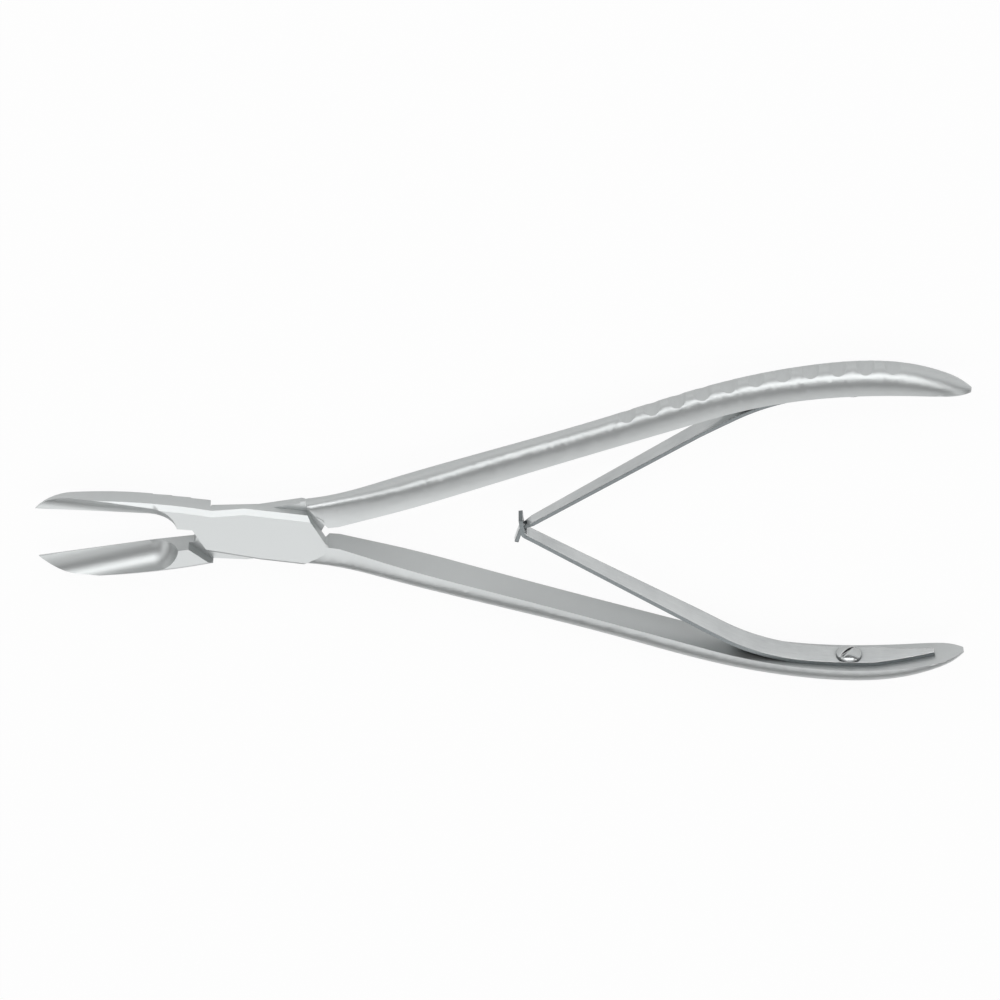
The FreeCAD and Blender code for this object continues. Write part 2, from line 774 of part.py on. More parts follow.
def strip_feature(name, start, heading, runs, flip):
    """The strip as a solid wider than any leaf, still to be trimmed to its outline."""
    width = 2 * size("leaf_arm_width")
    solid = strip(start, heading, runs, size("leaf_thickness")).extrude(vector(0, 0, width))
    solid.translate(vector(0, 0, size("joint_thickness") / 2 - width / 2))
    feature = doc.addObject("Part::Feature", name)
    feature.Shape = solid if flip == 1 else solid.mirror(vector(0, 0, 0), vector(0, 1, 0))
    return feature


def trim_outline(name, corners):
    """A plan outline of half widths, mirrored about the strip's middle and padded across the handles."""
    body = doc.addObject("PartDesign::Body", name)
    ring = corners + [(reach, "-" + width) for reach, width in reversed(corners)]
    sketch = outline_sketch(body, "XZ_Plane", name + "_outline", ring)
    pad(body, sketch, name + "_pad", "2 * sizes.leaf_foot_end", True)
    body.setExpression("Placement.Base.z", "sizes.joint_thickness / 2")
    return body


FOOT_PLAN = [
    ("leaf_flex_reach - leaf_flex_gap", "half:leaf_arm_width"),
    ("screw_reach", "half:leaf_foot_width"),
    ("leaf_taper_start", "half:leaf_foot_width"),
    ("leaf_foot_end", "half:leaf_foot_tip_width"),
]
TAB_PLAN = [
    ("leaf_end_reach", "half:leaf_arm_tip_width"),
    ("leaf_arm_end_reach", "half:leaf_arm_tip_width"),
    ("leaf_flex_reach - leaf_arm_straight", "half:leaf_arm_width"),
    ("leaf_flex_reach", "half:leaf_arm_width"),
]
HOOK_PLAN = [
    ("leaf_end_reach", "half:hook_width"),
    ("hook_start_reach", "half:hook_width"),
    ("hook_start_reach + hook_shoulder", "half:hook_arm_tip_width"),
    ("leaf_flex_reach - leaf_arm_straight", "half:hook_arm_width"),
    ("leaf_flex_reach", "half:leaf_arm_width"),
]


def common(name, members):
    feature = doc.addObject("Part::MultiCommon", name)
    feature.Shapes = members
    return feature


def minus(name, base, tool):
    feature = doc.addObject("Part::Cut", name)
    feature.Base = base
    feature.Tool = tool
    return feature


def spring_foot(name, flip):
    leaf = common(name + "_leaf", [foot_strip(name + "_strip", flip), trim_outline(name + "_plan", FOOT_PLAN)])
    hole = doc.addObject("Part::Cylinder", name + "_hole")
    hole.setExpression("Radius", "sizes.screw_shank_radius + sizes.screw_hole_clearance")
    hole.setExpression("Height", "4 * sizes.leaf_thickness")
    hole.Placement = off_face(size("screw_reach"), -size("leaf_thickness"), flip)
    foot = minus(name, leaf, hole)
    foot.Placement = turned(flip)
    return foot


def tab_window(name):
    """The window in the lower leaf's tab, square to the tab."""
    box = doc.addObject("Part::Box", name)
    box.setExpression("Length", "6 * sizes.leaf_thickness")
    box.setExpression("Width", "sizes.window_height")
    box.setExpression("Height", "sizes.window_width")
    corner = vector(-3 * size("leaf_thickness"), -size("window_height") / 2, -size("window_width") / 2)
    middle = vector(size("window_centre"), size("window_rise"), size("joint_thickness") / 2)
    return box, FreeCAD.Placement(middle, FreeCAD.Rotation()).multiply(FreeCAD.Placement(corner, FreeCAD.Rotation()))


def spring_arm(name, flip, end, plan):
    strip_solid = arm_strip(name + "_strip", flip, end)
    if end == "hook":
        arm = common(name, [strip_solid, trim_outline(name + "_plan", plan)])
    else:
        leaf = common(name + "_leaf", [strip_solid, trim_outline(name + "_plan", plan)])
        window, place = tab_window(name + "_window")
        window.Placement = turned(flip).inverse().multiply(place)
        arm = minus(name, leaf, window)
    arm.Placement = turned(flip)
    return arm


parts = [
    half("front_half", 1),
    half("rear_half", -1),
    pivot_screw(),
    spring_foot("lower_spring_foot", 1),
    spring_foot("upper_spring_foot", -1),
    spring_arm("lower_spring_arm", 1, "tab", TAB_PLAN),
    spring_arm("upper_spring_arm", -1, "hook", HOOK_PLAN),
    spring_screw("lower_spring_screw", 1),
    spring_screw("upper_spring_screw", -1),
]
doc.recompute()

for item in doc.Objects:
    if "Invalid" in item.State or "Error" in item.State:
        raise RuntimeError("%s did not build: %s" % (item.Name, item.State))
os.makedirs("parts", exist_ok=True)
for part in parts:
    part.Label = part.Name
    if part.Shape.isNull() or not part.Shape.isValid():
        raise RuntimeError(part.Name + " is not a valid solid")
    print(part.Name, "solids", len(part.Shape.Solids), "volume", round(part.Shape.Volume, 2), part.Shape.BoundBox)
    part.Shape.exportStep("parts/" + part.Name + ".step")
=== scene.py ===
import math

import bmesh
import bpy
from bpy.props import FloatProperty, FloatVectorProperty, PointerProperty
from mathutils import Matrix, Vector


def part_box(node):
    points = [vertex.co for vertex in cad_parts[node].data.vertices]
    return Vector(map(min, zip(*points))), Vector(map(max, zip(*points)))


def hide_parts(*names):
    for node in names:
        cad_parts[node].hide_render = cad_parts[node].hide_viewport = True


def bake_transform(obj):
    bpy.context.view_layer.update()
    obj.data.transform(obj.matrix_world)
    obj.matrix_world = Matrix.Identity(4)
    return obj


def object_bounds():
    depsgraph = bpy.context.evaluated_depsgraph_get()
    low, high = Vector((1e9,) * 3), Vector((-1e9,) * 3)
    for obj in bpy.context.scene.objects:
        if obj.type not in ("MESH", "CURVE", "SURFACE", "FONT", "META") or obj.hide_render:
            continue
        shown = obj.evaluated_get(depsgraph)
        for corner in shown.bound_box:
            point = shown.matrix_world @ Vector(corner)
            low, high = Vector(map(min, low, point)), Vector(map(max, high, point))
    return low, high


bl_info = {
    "name": "Bone cutting forceps",
    "version": (1, 0, 0),
    "blender": (4, 5, 0),
    "location": "View3D > Sidebar > Forceps",
    "description": "Dresses the packed forceps: satin steel halves, leaf springs, screws and a studio",
    "category": "Object",
}

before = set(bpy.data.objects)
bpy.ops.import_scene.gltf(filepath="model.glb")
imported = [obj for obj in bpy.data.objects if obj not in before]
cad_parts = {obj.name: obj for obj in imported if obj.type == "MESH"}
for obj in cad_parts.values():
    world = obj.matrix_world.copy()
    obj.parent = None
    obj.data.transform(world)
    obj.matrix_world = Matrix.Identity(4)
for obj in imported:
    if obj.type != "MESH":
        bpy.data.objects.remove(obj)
CAD_LOW, CAD_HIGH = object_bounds()
MM = 0.001
PIVOT_AXIS = Vector((0, 0, 1))
INNER_SHARE = 0.8
WELD_DISTANCE = 0.001 * MM
CRISP_ANGLE = math.radians(32)
STRIP_CRISP_ANGLE = math.radians(50)
NORMAL_WEIGHT = 50
BEVEL_SEGMENTS = 2
MASK_SAMPLES = 6
# Mask range of the worn edges' painted highlight
RUBBED_HIGHLIGHT_COSINES = (0.98, 0.90)
# Ambient occlusion range that the painted shade maps to its share
SHELTERED_SHARES = (0.92, 0.40)
SATIN_NOISE = {"patches": (90, 3, 0.6), "grain": (4200, 2, 0.6), "lines": (2600, 3, 0.65)}
LEAF_NOISE = {"patches": (140, 3, 0.6), "grain": (4500, 2, 0.6), "lines": (3400, 3, 0.7)}
CUT_EDGE_NOISE = (3000, 3, 0.7)
TURNED_GRAIN = (5000, 2, 0.6)
TURNED_RINGS = (7000, 3.0)
SATIN_RELIEF = 0.0035 * MM
LEAF_RELIEF = 0.003 * MM
CUT_EDGE_RELIEF = 0.006 * MM
TURNED_RELIEF = 0.004 * MM
FLOOR_HALF_SIDE = 3.0
FLOOR_COLOUR = (0.9, 0.9, 0.9)
NEAR_CLIP = 0.01


class HandleLine(bpy.types.PropertyGroup):
    """The inner face of a handle, drawn closed: a straight line and then a bow."""
    start: FloatProperty(name="Start", description="Distance from the pivot to the face's start",
                         default=17.6 * MM, unit="LENGTH", precision=5)
    gap: FloatProperty(name="Gap", description="Distance from the mid-line to the face's start",
                       default=0.4 * MM, unit="LENGTH", precision=5)
    slope: FloatProperty(name="Slope", description="Angle between the face and the mid-line",
                         default=math.radians(11.56), subtype="ANGLE")
    straight: FloatProperty(name="Straight", description="Length of the straight part",
                            default=80.05 * MM, unit="LENGTH", precision=5)
    bow_radius: FloatProperty(name="Bow radius", description="Radius of the bowed part",
                              default=97.5 * MM, unit="LENGTH", precision=5)
    half_opening: FloatProperty(name="Half opening", description="Turn of each half from closed to rest",
                                default=math.radians(7.8), subtype="ANGLE")
    middle_height: FloatProperty(name="Middle height", description="Height of the handles' middle",
                                 default=2.45 * MM, unit="LENGTH", precision=5)


class LeafSizes(bpy.types.PropertyGroup):
    """Sizes of a leaf spring."""
    thickness: FloatProperty(name="Thickness", description="Thickness of the spring strip",
                             default=0.85 * MM, unit="LENGTH", precision=5)
    seat: FloatProperty(name="Seat clearance", description="Gap between the foot and the handle",
                        default=0.03 * MM, unit="LENGTH", precision=5)
    foot_end: FloatProperty(name="Foot end", description="Distance from the pivot to the foot's tip",
                            default=142.3 * MM, unit="LENGTH", precision=5)
    foot_taper: FloatProperty(name="Foot taper", description="Where the foot starts to narrow",
                              default=130 * MM, unit="LENGTH", precision=5)
    lift_off: FloatProperty(name="Lift off", description="Where the leaf leaves the handle",
                            default=116 * MM, unit="LENGTH", precision=5)
    bend_radius: FloatProperty(name="Bend radius", description="Radius of the bend off the handle",
                               default=42 * MM, unit="LENGTH", precision=5)
    foot_width: FloatProperty(name="Foot width", description="Width under the screw",
                              default=5.3 * MM, unit="LENGTH", precision=5)
    foot_tip_width: FloatProperty(name="Foot tip width", description="Width of the foot's tip",
                                  default=1.4 * MM, unit="LENGTH", precision=5)
    tab_meeting: FloatProperty(name="Tab meeting", description="Where the tab starts on the mid-line",
                               default=55 * MM, unit="LENGTH", precision=5)
    tab_drop: FloatProperty(name="Tab drop", description="How far the tab starts below the mid-line",
                            default=1.4 * MM, unit="LENGTH", precision=5)
    hook_meeting: FloatProperty(name="Hook meeting", description="Where the hook starts on the mid-line",
                                default=54.5 * MM, unit="LENGTH", precision=5)
    hook_drop: FloatProperty(name="Hook drop", description="How far the hook starts off the mid-line",
                             default=0.85 * MM, unit="LENGTH", precision=5)
    arm_start: FloatProperty(name="Arm start", description="Where the arm starts to narrow",
                             default=93 * MM, unit="LENGTH", precision=5)
    flex: FloatProperty(name="Flex", description="Where the free arm starts to bend",
                        default=99.5 * MM, unit="LENGTH", precision=5)
    screw: FloatProperty(name="Screw", description="Where the screw holds the foot",
                         default=124.9 * MM, unit="LENGTH", precision=5)
    arm_width: FloatProperty(name="Arm width", description="Width of the arm at its start",
                             default=5.7 * MM, unit="LENGTH", precision=5)
    arm_end: FloatProperty(name="Arm end", description="Where the arm stops narrowing",
                           default=57 * MM, unit="LENGTH", precision=5)
    tip_width: FloatProperty(name="Tip width", description="Width of the arm at the mid-line",
                             default=3.5 * MM, unit="LENGTH", precision=5)
    end_bend_radius: FloatProperty(name="End bend radius",
                                   description="Radius of the bend at the mid-line",
                                   default=1.75 * MM, unit="LENGTH", precision=5)
    hook_start: FloatProperty(name="Hook start", description="Where the upper leaf narrows to its hook",
                              default=55.4 * MM, unit="LENGTH", precision=5)
    hook_shoulder: FloatProperty(name="Hook shoulder",
                                 description="Length over which it narrows to the hook",
                                 default=0.6 * MM, unit="LENGTH", precision=5)
    hook_arm_tip_width: FloatProperty(name="Hook arm tip width",
                                      description="Width of the upper arm at its hook",
                                      default=2.8 * MM, unit="LENGTH", precision=5)
    hook_arm_width: FloatProperty(name="Hook arm width",
                                  description="Width of the upper arm at its start",
                                  default=4.4 * MM, unit="LENGTH", precision=5)
    tab_bend: FloatProperty(name="Tab bend", description="Turn of the lower leaf's tab",
                            default=math.radians(51), subtype="ANGLE")
    tab_length: FloatProperty(name="Tab length", description="Length of the lower leaf's tab",
                              default=3.2 * MM, unit="LENGTH", precision=5)
    window_width: FloatProperty(name="Window width", description="Width of the window in the tab",
                                default=2.4 * MM, unit="LENGTH", precision=5)
    window_height: FloatProperty(name="Window height", description="Height of the window in the tab",
                                 default=2.9 * MM, unit="LENGTH", precision=5)
    window_rise: FloatProperty(name="Window rise",
                               description="Height of the window's middle over the mid-line",
                               default=0.4 * MM, unit="LENGTH", precision=5)
    hook_bend: FloatProperty(name="Hook bend", description="Turn of the upper leaf's hook",
                             default=math.radians(40), subtype="ANGLE")
    hook_length: FloatProperty(name="Hook length", description="Length of the upper leaf's hook",
                               default=2.9 * MM, unit="LENGTH", precision=5)
    hook_width: FloatProperty(name="Hook width", description="Width of the upper leaf's hook",
                              default=1.7 * MM, unit="LENGTH", precision=5)
    edge_round: FloatProperty(name="Edge round", description="Rounding of the strip's edges",
                              default=0.12 * MM, unit="LENGTH", precision=5)
    segment: FloatProperty(name="Segment", description="Length of a mesh segment along the strip",
                           default=0.8 * MM, unit="LENGTH", precision=5)


class SteelLooks(bpy.types.PropertyGroup):
    """Colours and finish of the steels, with the painted shade in corners and near facing pieces, the
    painted highlight on rubbed edges and the dark painted shade of the leaves' cut edges.
    """
    satin: FloatVectorProperty(name="Satin steel", description="Colour of the two halves",
                               default=(0.60, 0.625, 0.625), subtype="COLOR", min=0, max=1)
    satin_dark: FloatVectorProperty(name="Satin steel, dark", description="Darker patches of the halves",
                                    default=(0.46, 0.485, 0.49), subtype="COLOR", min=0, max=1)
    leaf: FloatVectorProperty(name="Spring steel", description="Colour of the leaves' faces",
                              default=(0.74, 0.76, 0.76), subtype="COLOR", min=0, max=1)
    leaf_dark: FloatVectorProperty(name="Spring steel, dark", description="Darker patches of the leaves",
                                   default=(0.60, 0.62, 0.625), subtype="COLOR", min=0, max=1)
    # Cut edge: painted shade, a dark colour on the leaves' edges where they lie in shade
    cut_edge_shade: FloatVectorProperty(name="Cut edge", description="Colour of the leaves' cut edges",
                                  default=(0.17, 0.185, 0.19), subtype="COLOR", min=0, max=1)
    turned: FloatVectorProperty(name="Turned steel", description="Colour of the screws",
                                default=(0.66, 0.68, 0.68), subtype="COLOR", min=0, max=1)
    # Worn edge: a near-white, less metallic colour on the rubbed edges, which is wear and a painted
    # highlight
    worn_highlight: FloatVectorProperty(name="Worn edge", description="Colour of rubbed edges",
                              default=(0.97, 0.975, 0.975), subtype="COLOR", min=0, max=1)
    roughness: FloatProperty(name="Roughness", description="Roughness of the satin finish",
                             default=0.15, min=0, max=1)
    worn_highlight_metal: FloatProperty(name="Worn edge metal", description="How metallic the rubbed edges look",
                              default=0.55, min=0, max=1)
    # Painted shade: the dark colour laid into corners, grooves and under facing pieces
    painted_shade: FloatVectorProperty(name="Crevice",
                                 description="Colour of the steel in corners and grooves",
                                 default=(0.13, 0.14, 0.145), subtype="COLOR", min=0, max=1)
    painted_shade_reach: FloatProperty(name="Crevice reach",
                                 description="How far the crevices' dark tone reaches",
                                 default=3.5 * MM, unit="LENGTH", precision=5)
    # Painted shade from a facing piece: how far it reaches and how dark it makes the colour
    shelter_reach: FloatProperty(name="Shelter reach",
                                 description="How far off a facing piece still shades the steel",
                                 default=12 * MM, unit="LENGTH", precision=5)
    shelter: FloatProperty(name="Shelter", description="How much a facing piece shades the steel",
                           default=0.55, min=0, max=1)
    wear_highlight_width: FloatProperty(name="Wear width", description="Width of the rubbed edges",
                              default=0.45 * MM, unit="LENGTH", precision=5)
    edge_break: FloatProperty(name="Edge break", description="Rounding of the halves' crisp edges",
                              default=0.30 * MM, unit="LENGTH", precision=5)
    screw_break: FloatProperty(name="Screw edge break", description="Rounding of the screws' edges",
                               default=0.06 * MM, unit="LENGTH", precision=5)


class StudioSettings(bpy.types.PropertyGroup):
    """Camera and light."""
    distance: FloatProperty(name="Distance", description="Camera to the aimed point",
                            default=1.369, unit="LENGTH")
    tilt: FloatProperty(name="Tilt", description="Angle between the sight line and the pivot's axis",
                        default=math.radians(36.67), subtype="ANGLE")
    turn: FloatProperty(name="Turn", description="Turn of the camera about the pivot's axis",
                        default=math.radians(1.035), subtype="ANGLE")
    aim: FloatVectorProperty(name="Aim", description="Point in the middle of the picture",
                             default=(50.206 * MM, 7.136 * MM, 2.45 * MM),
                             subtype="TRANSLATION", precision=5)
    view_width: FloatProperty(name="View width", description="Width of the view at the aimed point",
                              default=202.49 * MM, unit="LENGTH", precision=5)
    front_angle: FloatProperty(name="Front box angle",
                               description="Lean of the large soft box from straight above",
                               default=math.radians(-42), subtype="ANGLE")
    front_width: FloatProperty(name="Front box width",
                               description="Width of the large soft box across the forceps",
                               default=0.6, unit="LENGTH")
    front_level: FloatProperty(name="Front box level",
                               description="Brightness of the large soft box",
                               default=1.35, min=0)
    top_angle: FloatProperty(name="Top box angle",
                             description="Lean of the dim soft box overhead from straight above",
                             default=math.radians(-4), subtype="ANGLE")
    top_width: FloatProperty(name="Top box width",
                             description="Width of the dim soft box overhead across the forceps",
                             default=0.5, unit="LENGTH")
    top_level: FloatProperty(name="Top box level",
                             description="Brightness of the dim soft box overhead",
                             default=0.70, min=0)
    strip_angle: FloatProperty(name="Strip light angle",
                               description="Lean of the strip light behind from straight above",
                               default=math.radians(59), subtype="ANGLE")
    strip_width: FloatProperty(name="Strip light width",
                               description="Width of the strip light behind across the forceps",
                               default=0.40, unit="LENGTH")
    strip_level: FloatProperty(name="Strip light level",
                               description="Brightness of the strip light behind",
                               default=2.6, min=0)
    side_angle: FloatProperty(name="Side box angle",
                              description="Lean of the boxes at both ends from straight above",
                              default=math.radians(62), subtype="ANGLE")
    side_width: FloatProperty(name="Side box width", description="Width of the boxes at both ends",
                              default=0.30, unit="LENGTH")
    side_level: FloatProperty(name="Side box level",
                              description="Brightness of the boxes at both ends",
                              default=1.2, min=0)
    lamp_length: FloatProperty(name="Lamp length", description="Length of the lamps along the forceps",
                               default=1.3, unit="LENGTH")
    lamp_distance: FloatProperty(name="Lamp distance", description="Lamps to the aimed point",
                                 default=0.85, unit="LENGTH")
    world_level: FloatProperty(name="World level", description="Light of the surroundings",
                               default=0.04, min=0)
    floor_mirror: FloatProperty(name="Floor mirror level",
                                description="Share of plain white in the mirrored floor",
                                default=0.4, min=0, max=1)
    floor_level: FloatProperty(name="Floor level", description="Share of plain white in the seen floor",
                               default=0.95, min=0, max=1)


# Materials

def new_material(name):
    material = bpy.data.materials.new(name)
    material.use_nodes = True
    tree = material.node_tree
    tree.nodes.clear()
    output = tree.nodes.new("ShaderNodeOutputMaterial")
    shader = tree.nodes.new("ShaderNodeBsdfPrincipled")
    shader.inputs["Metallic"].default_value = 1.0
    tree.links.new(shader.outputs["BSDF"], output.inputs["Surface"])
    return material, tree, shader


def coloured(colour):
    return (*colour, 1.0)


def object_coordinates(tree, stretch, turn=0.0):
    """Object coordinates in metres, stretched by a factor on each axis and turned about Z."""
    place = tree.nodes.new("ShaderNodeTexCoord")
    mapping = tree.nodes.new("ShaderNodeMapping")
    mapping.inputs["Scale"].default_value = stretch
    mapping.inputs["Rotation"].default_value = (0.0, 0.0, turn)
    tree.links.new(place.outputs["Object"], mapping.inputs["Vector"])
    return mapping.outputs["Vector"]


def noise(tree, vector, scale, detail=2.0, roughness=0.5):
    texture = tree.nodes.new("ShaderNodeTexNoise")
    texture.inputs["Scale"].default_value = scale
    texture.inputs["Detail"].default_value = detail
    texture.inputs["Roughness"].default_value = roughness
    tree.links.new(vector, texture.inputs["Vector"])
    return texture.outputs["Fac"]


def ranged(tree, value, low, high, to_low, to_high):
    node = tree.nodes.new("ShaderNodeMapRange")
    node.inputs["From Min"].default_value = low
    node.inputs["From Max"].default_value = high
    node.inputs["To Min"].default_value = to_low
    node.inputs["To Max"].default_value = to_high
    tree.links.new(value, node.inputs["Value"])
    return node.outputs["Result"]


def combined(tree, operation, first, second):
    node = tree.nodes.new("ShaderNodeMath")
    node.operation = operation
    for socket, value in zip(node.inputs, (first, second)):
        if isinstance(value, (int, float)):
            socket.default_value = value
        else:
            tree.links.new(value, socket)
    return node.outputs["Value"]


def mixed_colour(tree, factor, first, second):
    node = tree.nodes.new("ShaderNodeMix")
    node.data_type = "RGBA"
    tree.links.new(factor, node.inputs["Factor"])
    for name, colour in (("A", first), ("B", second)):
        socket = next(s for s in node.inputs if s.name == name and s.type == "RGBA")
        if hasattr(colour, "is_linked"):
            tree.links.new(colour, socket)
        else:
            socket.default_value = colour
    return next(s for s in node.outputs if s.type == "RGBA")


def rubbed_highlight_edges(tree, width):
    """The normal of a rounded edge, and a mask that is 1 on an edge and 0 on a face, which lays a worn,
    near-white colour there as a painted highlight.
    """
    bevel = tree.nodes.new("ShaderNodeBevel")
    bevel.samples = MASK_SAMPLES
    bevel.inputs["Radius"].default_value = width
    geometry = tree.nodes.new("ShaderNodeNewGeometry")
    product = tree.nodes.new("ShaderNodeVectorMath")
    product.operation = "DOT_PRODUCT"
    tree.links.new(bevel.outputs["Normal"], product.inputs[0])
    tree.links.new(geometry.outputs["Normal"], product.inputs[1])
    return bevel.outputs["Normal"], ranged(tree, product.outputs["Value"], *RUBBED_HIGHLIGHT_COSINES, 0.0, 1.0)


def painted_shades(tree, reach, share=1.0):
    """Painted shade: the share of the shade colour in a corner, a groove or near a facing piece, found by
    ambient occlusion, and 0 on an open face.
    """
    shelter = tree.nodes.new("ShaderNodeAmbientOcclusion")
    shelter.samples = MASK_SAMPLES
    shelter.inputs["Distance"].default_value = reach
    return ranged(tree, shelter.outputs["AO"], *SHELTERED_SHARES, 0.0, share)


def bumped(tree, shader, height, distance, normal=None):
    bump = tree.nodes.new("ShaderNodeBump")
    bump.inputs["Distance"].default_value = distance
    if normal:
        tree.links.new(normal, bump.inputs["Normal"])
    tree.links.new(height, bump.inputs["Height"])
    tree.links.new(bump.outputs["Normal"], shader.inputs["Normal"])


def satin_steel():
    """Ground and glass-blasted steel: fine grain, faint lengthwise polishing lines, painted shade in
    corners and under facing pieces, and rubbed edges whose near-white colour is wear and a painted
    highlight.
    """
    looks = bpy.context.scene.steel_looks
    material, tree, shader = new_material("satin_steel")
    even = object_coordinates(tree, (1, 1, 1))
    along = object_coordinates(tree, (0.06, 1, 1))
    patches = noise(tree, even, *SATIN_NOISE["patches"])
    grain = noise(tree, even, *SATIN_NOISE["grain"])
    lines = noise(tree, along, *SATIN_NOISE["lines"])
    tone = combined(tree, "ADD", ranged(tree, patches, 0.35, 0.65, 0.0, 0.5),
                    ranged(tree, lines, 0.30, 0.70, 0.0, 0.35))
    tone = combined(tree, "ADD", tone, ranged(tree, grain, 0.30, 0.70, -0.1, 0.25))
    steel = mixed_colour(tree, tone, coloured(looks.satin), coloured(looks.satin_dark))
    # Painted shade under and near facing pieces
    shaded = painted_shades(tree, looks.shelter_reach, looks.shelter)
    steel = mixed_colour(tree, shaded, steel, coloured(looks.painted_shade))
    # Painted shade in corners and grooves
    steel = mixed_colour(tree, painted_shades(tree, looks.painted_shade_reach), steel, coloured(looks.painted_shade))
    # Wear and painted highlight: near-white, less metallic colour on the rubbed edges
    rounded, wear_highlight = rubbed_highlight_edges(tree, looks.wear_highlight_width)
    worn_highlight = combined(tree, "MULTIPLY", wear_highlight, ranged(tree, patches, 0.3, 0.6, 0.7, 1.0))
    tree.links.new(mixed_colour(tree, worn_highlight, steel, coloured(looks.worn_highlight)), shader.inputs["Base Color"])
    tree.links.new(ranged(tree, worn_highlight, 0.0, 1.0, 1.0, looks.worn_highlight_metal), shader.inputs["Metallic"])
    rough = combined(tree, "ADD", ranged(tree, grain, 0.25, 0.75, -0.05, 0.05),
                     ranged(tree, patches, 0.3, 0.7, looks.roughness - 0.03, looks.roughness + 0.04))
    tree.links.new(rough, shader.inputs["Roughness"])
    height = combined(tree, "ADD", grain, combined(tree, "MULTIPLY", lines, 0.8))
    bumped(tree, shader, height, SATIN_RELIEF, rounded)
    return material


def leaf_steel():
    """Rolled spring strip, polished along its length, with painted shade in its corners and a painted
    highlight on its rubbed edges.
    """
    looks = bpy.context.scene.steel_looks
    material, tree, shader = new_material("leaf_steel")
    even = object_coordinates(tree, (1, 1, 1))
    along = object_coordinates(tree, (0.08, 0.08, 1))
    patches = noise(tree, even, *LEAF_NOISE["patches"])
    grain = noise(tree, even, *LEAF_NOISE["grain"])
    lines = noise(tree, along, *LEAF_NOISE["lines"])
    tone = combined(tree, "ADD", ranged(tree, patches, 0.35, 0.65, 0.0, 0.45),
                    ranged(tree, lines, 0.30, 0.70, 0.0, 0.45))
    steel = mixed_colour(tree, tone, coloured(looks.leaf), coloured(looks.leaf_dark))
    # Painted shade in the leaves' corners
    steel = mixed_colour(tree, painted_shades(tree, looks.painted_shade_reach / 2), steel, coloured(looks.painted_shade))
    # Wear and painted highlight on the leaves' rubbed edges
    rounded, wear_highlight = rubbed_highlight_edges(tree, looks.wear_highlight_width)
    tree.links.new(mixed_colour(tree, wear_highlight, steel, coloured(looks.worn_highlight)), shader.inputs["Base Color"])
    tree.links.new(ranged(tree, wear_highlight, 0.0, 1.0, 1.0, looks.worn_highlight_metal), shader.inputs["Metallic"])
    rough = ranged(tree, lines, 0.25, 0.75, looks.roughness - 0.06, looks.roughness + 0.06)
    tree.links.new(rough, shader.inputs["Roughness"])
    height = combined(tree, "ADD", lines, combined(tree, "MULTIPLY", grain, 0.5))
    bumped(tree, shader, height, LEAF_RELIEF, rounded)
    return material


def cut_edge_shade_steel():
    """The leaves' sheared edges, rougher than their faces, painted dark as the shade that lies on them."""
    looks = bpy.context.scene.steel_looks
    material, tree, shader = new_material("leaf_cut_edge_shade")
    across = object_coordinates(tree, (1, 1, 0.2))
    marks = noise(tree, across, *CUT_EDGE_NOISE)
    # Painted shade: dark edges with lighter random marks
    lighter = coloured([min(1.0, 1.7 * part) for part in looks.cut_edge_shade])
    tree.links.new(mixed_colour(tree, ranged(tree, marks, 0.3, 0.75, 0.0, 1.0),
                                coloured(looks.cut_edge_shade), lighter), shader.inputs["Base Color"])
    tree.links.new(ranged(tree, marks, 0.25, 0.75, 0.32, 0.46), shader.inputs["Roughness"])
    bumped(tree, shader, marks, CUT_EDGE_RELIEF)
    return material


def turned_steel(name, centre, axis):
    """Turned and polished screw metal with fine rings about the screw's axis, painted shade in its corners
    and a painted highlight on its rubbed edges.
    """
    looks = bpy.context.scene.steel_looks
    material, tree, shader = new_material(name)
    place = tree.nodes.new("ShaderNodeTexCoord")
    local = tree.nodes.new("ShaderNodeVectorMath")
    local.operation = "SUBTRACT"
    local.inputs[1].default_value = centre
    tree.links.new(place.outputs["Object"], local.inputs[0])
    across = tree.nodes.new("ShaderNodeVectorMath")
    across.operation = "CROSS_PRODUCT"
    across.inputs[1].default_value = axis
    tree.links.new(local.outputs["Vector"], across.inputs[0])
    reach = tree.nodes.new("ShaderNodeVectorMath")
    reach.operation = "LENGTH"
    tree.links.new(across.outputs["Vector"], reach.inputs[0])
    rings = tree.nodes.new("ShaderNodeTexNoise")
    rings.noise_dimensions = "1D"
    rings.inputs["Scale"].default_value, rings.inputs["Detail"].default_value = TURNED_RINGS
    tree.links.new(reach.outputs["Value"], rings.inputs["W"])
    grain = noise(tree, object_coordinates(tree, (1, 1, 1)), *TURNED_GRAIN)
    darker = coloured([0.75 * part for part in looks.turned])
    tone = combined(tree, "ADD", ranged(tree, rings.outputs["Fac"], 0.3, 0.7, 0.0, 0.6),
                    ranged(tree, grain, 0.3, 0.7, 0.0, 0.3))
    steel = mixed_colour(tree, tone, coloured(looks.turned), darker)
    # Painted shade in the screws' slots and corners
    steel = mixed_colour(tree, painted_shades(tree, looks.painted_shade_reach / 2), steel, coloured(looks.painted_shade))
    # Wear and painted highlight on the screws' rubbed edges
    rounded, wear_highlight = rubbed_highlight_edges(tree, looks.wear_highlight_width)
    tree.links.new(mixed_colour(tree, wear_highlight, steel, coloured(looks.worn_highlight)), shader.inputs["Base Color"])
    tree.links.new(ranged(tree, wear_highlight, 0.0, 1.0, 1.0, looks.worn_highlight_metal), shader.inputs["Metallic"])
    tree.links.new(ranged(tree, rings.outputs["Fac"], 0.25, 0.75, 0.17, 0.27), shader.inputs["Roughness"])
    height = combined(tree, "ADD", rings.outputs["Fac"], combined(tree, "MULTIPLY", grain, 0.4))
    bumped(tree, shader, height, TURNED_RELIEF, rounded)
    return material


# Carried-over pieces

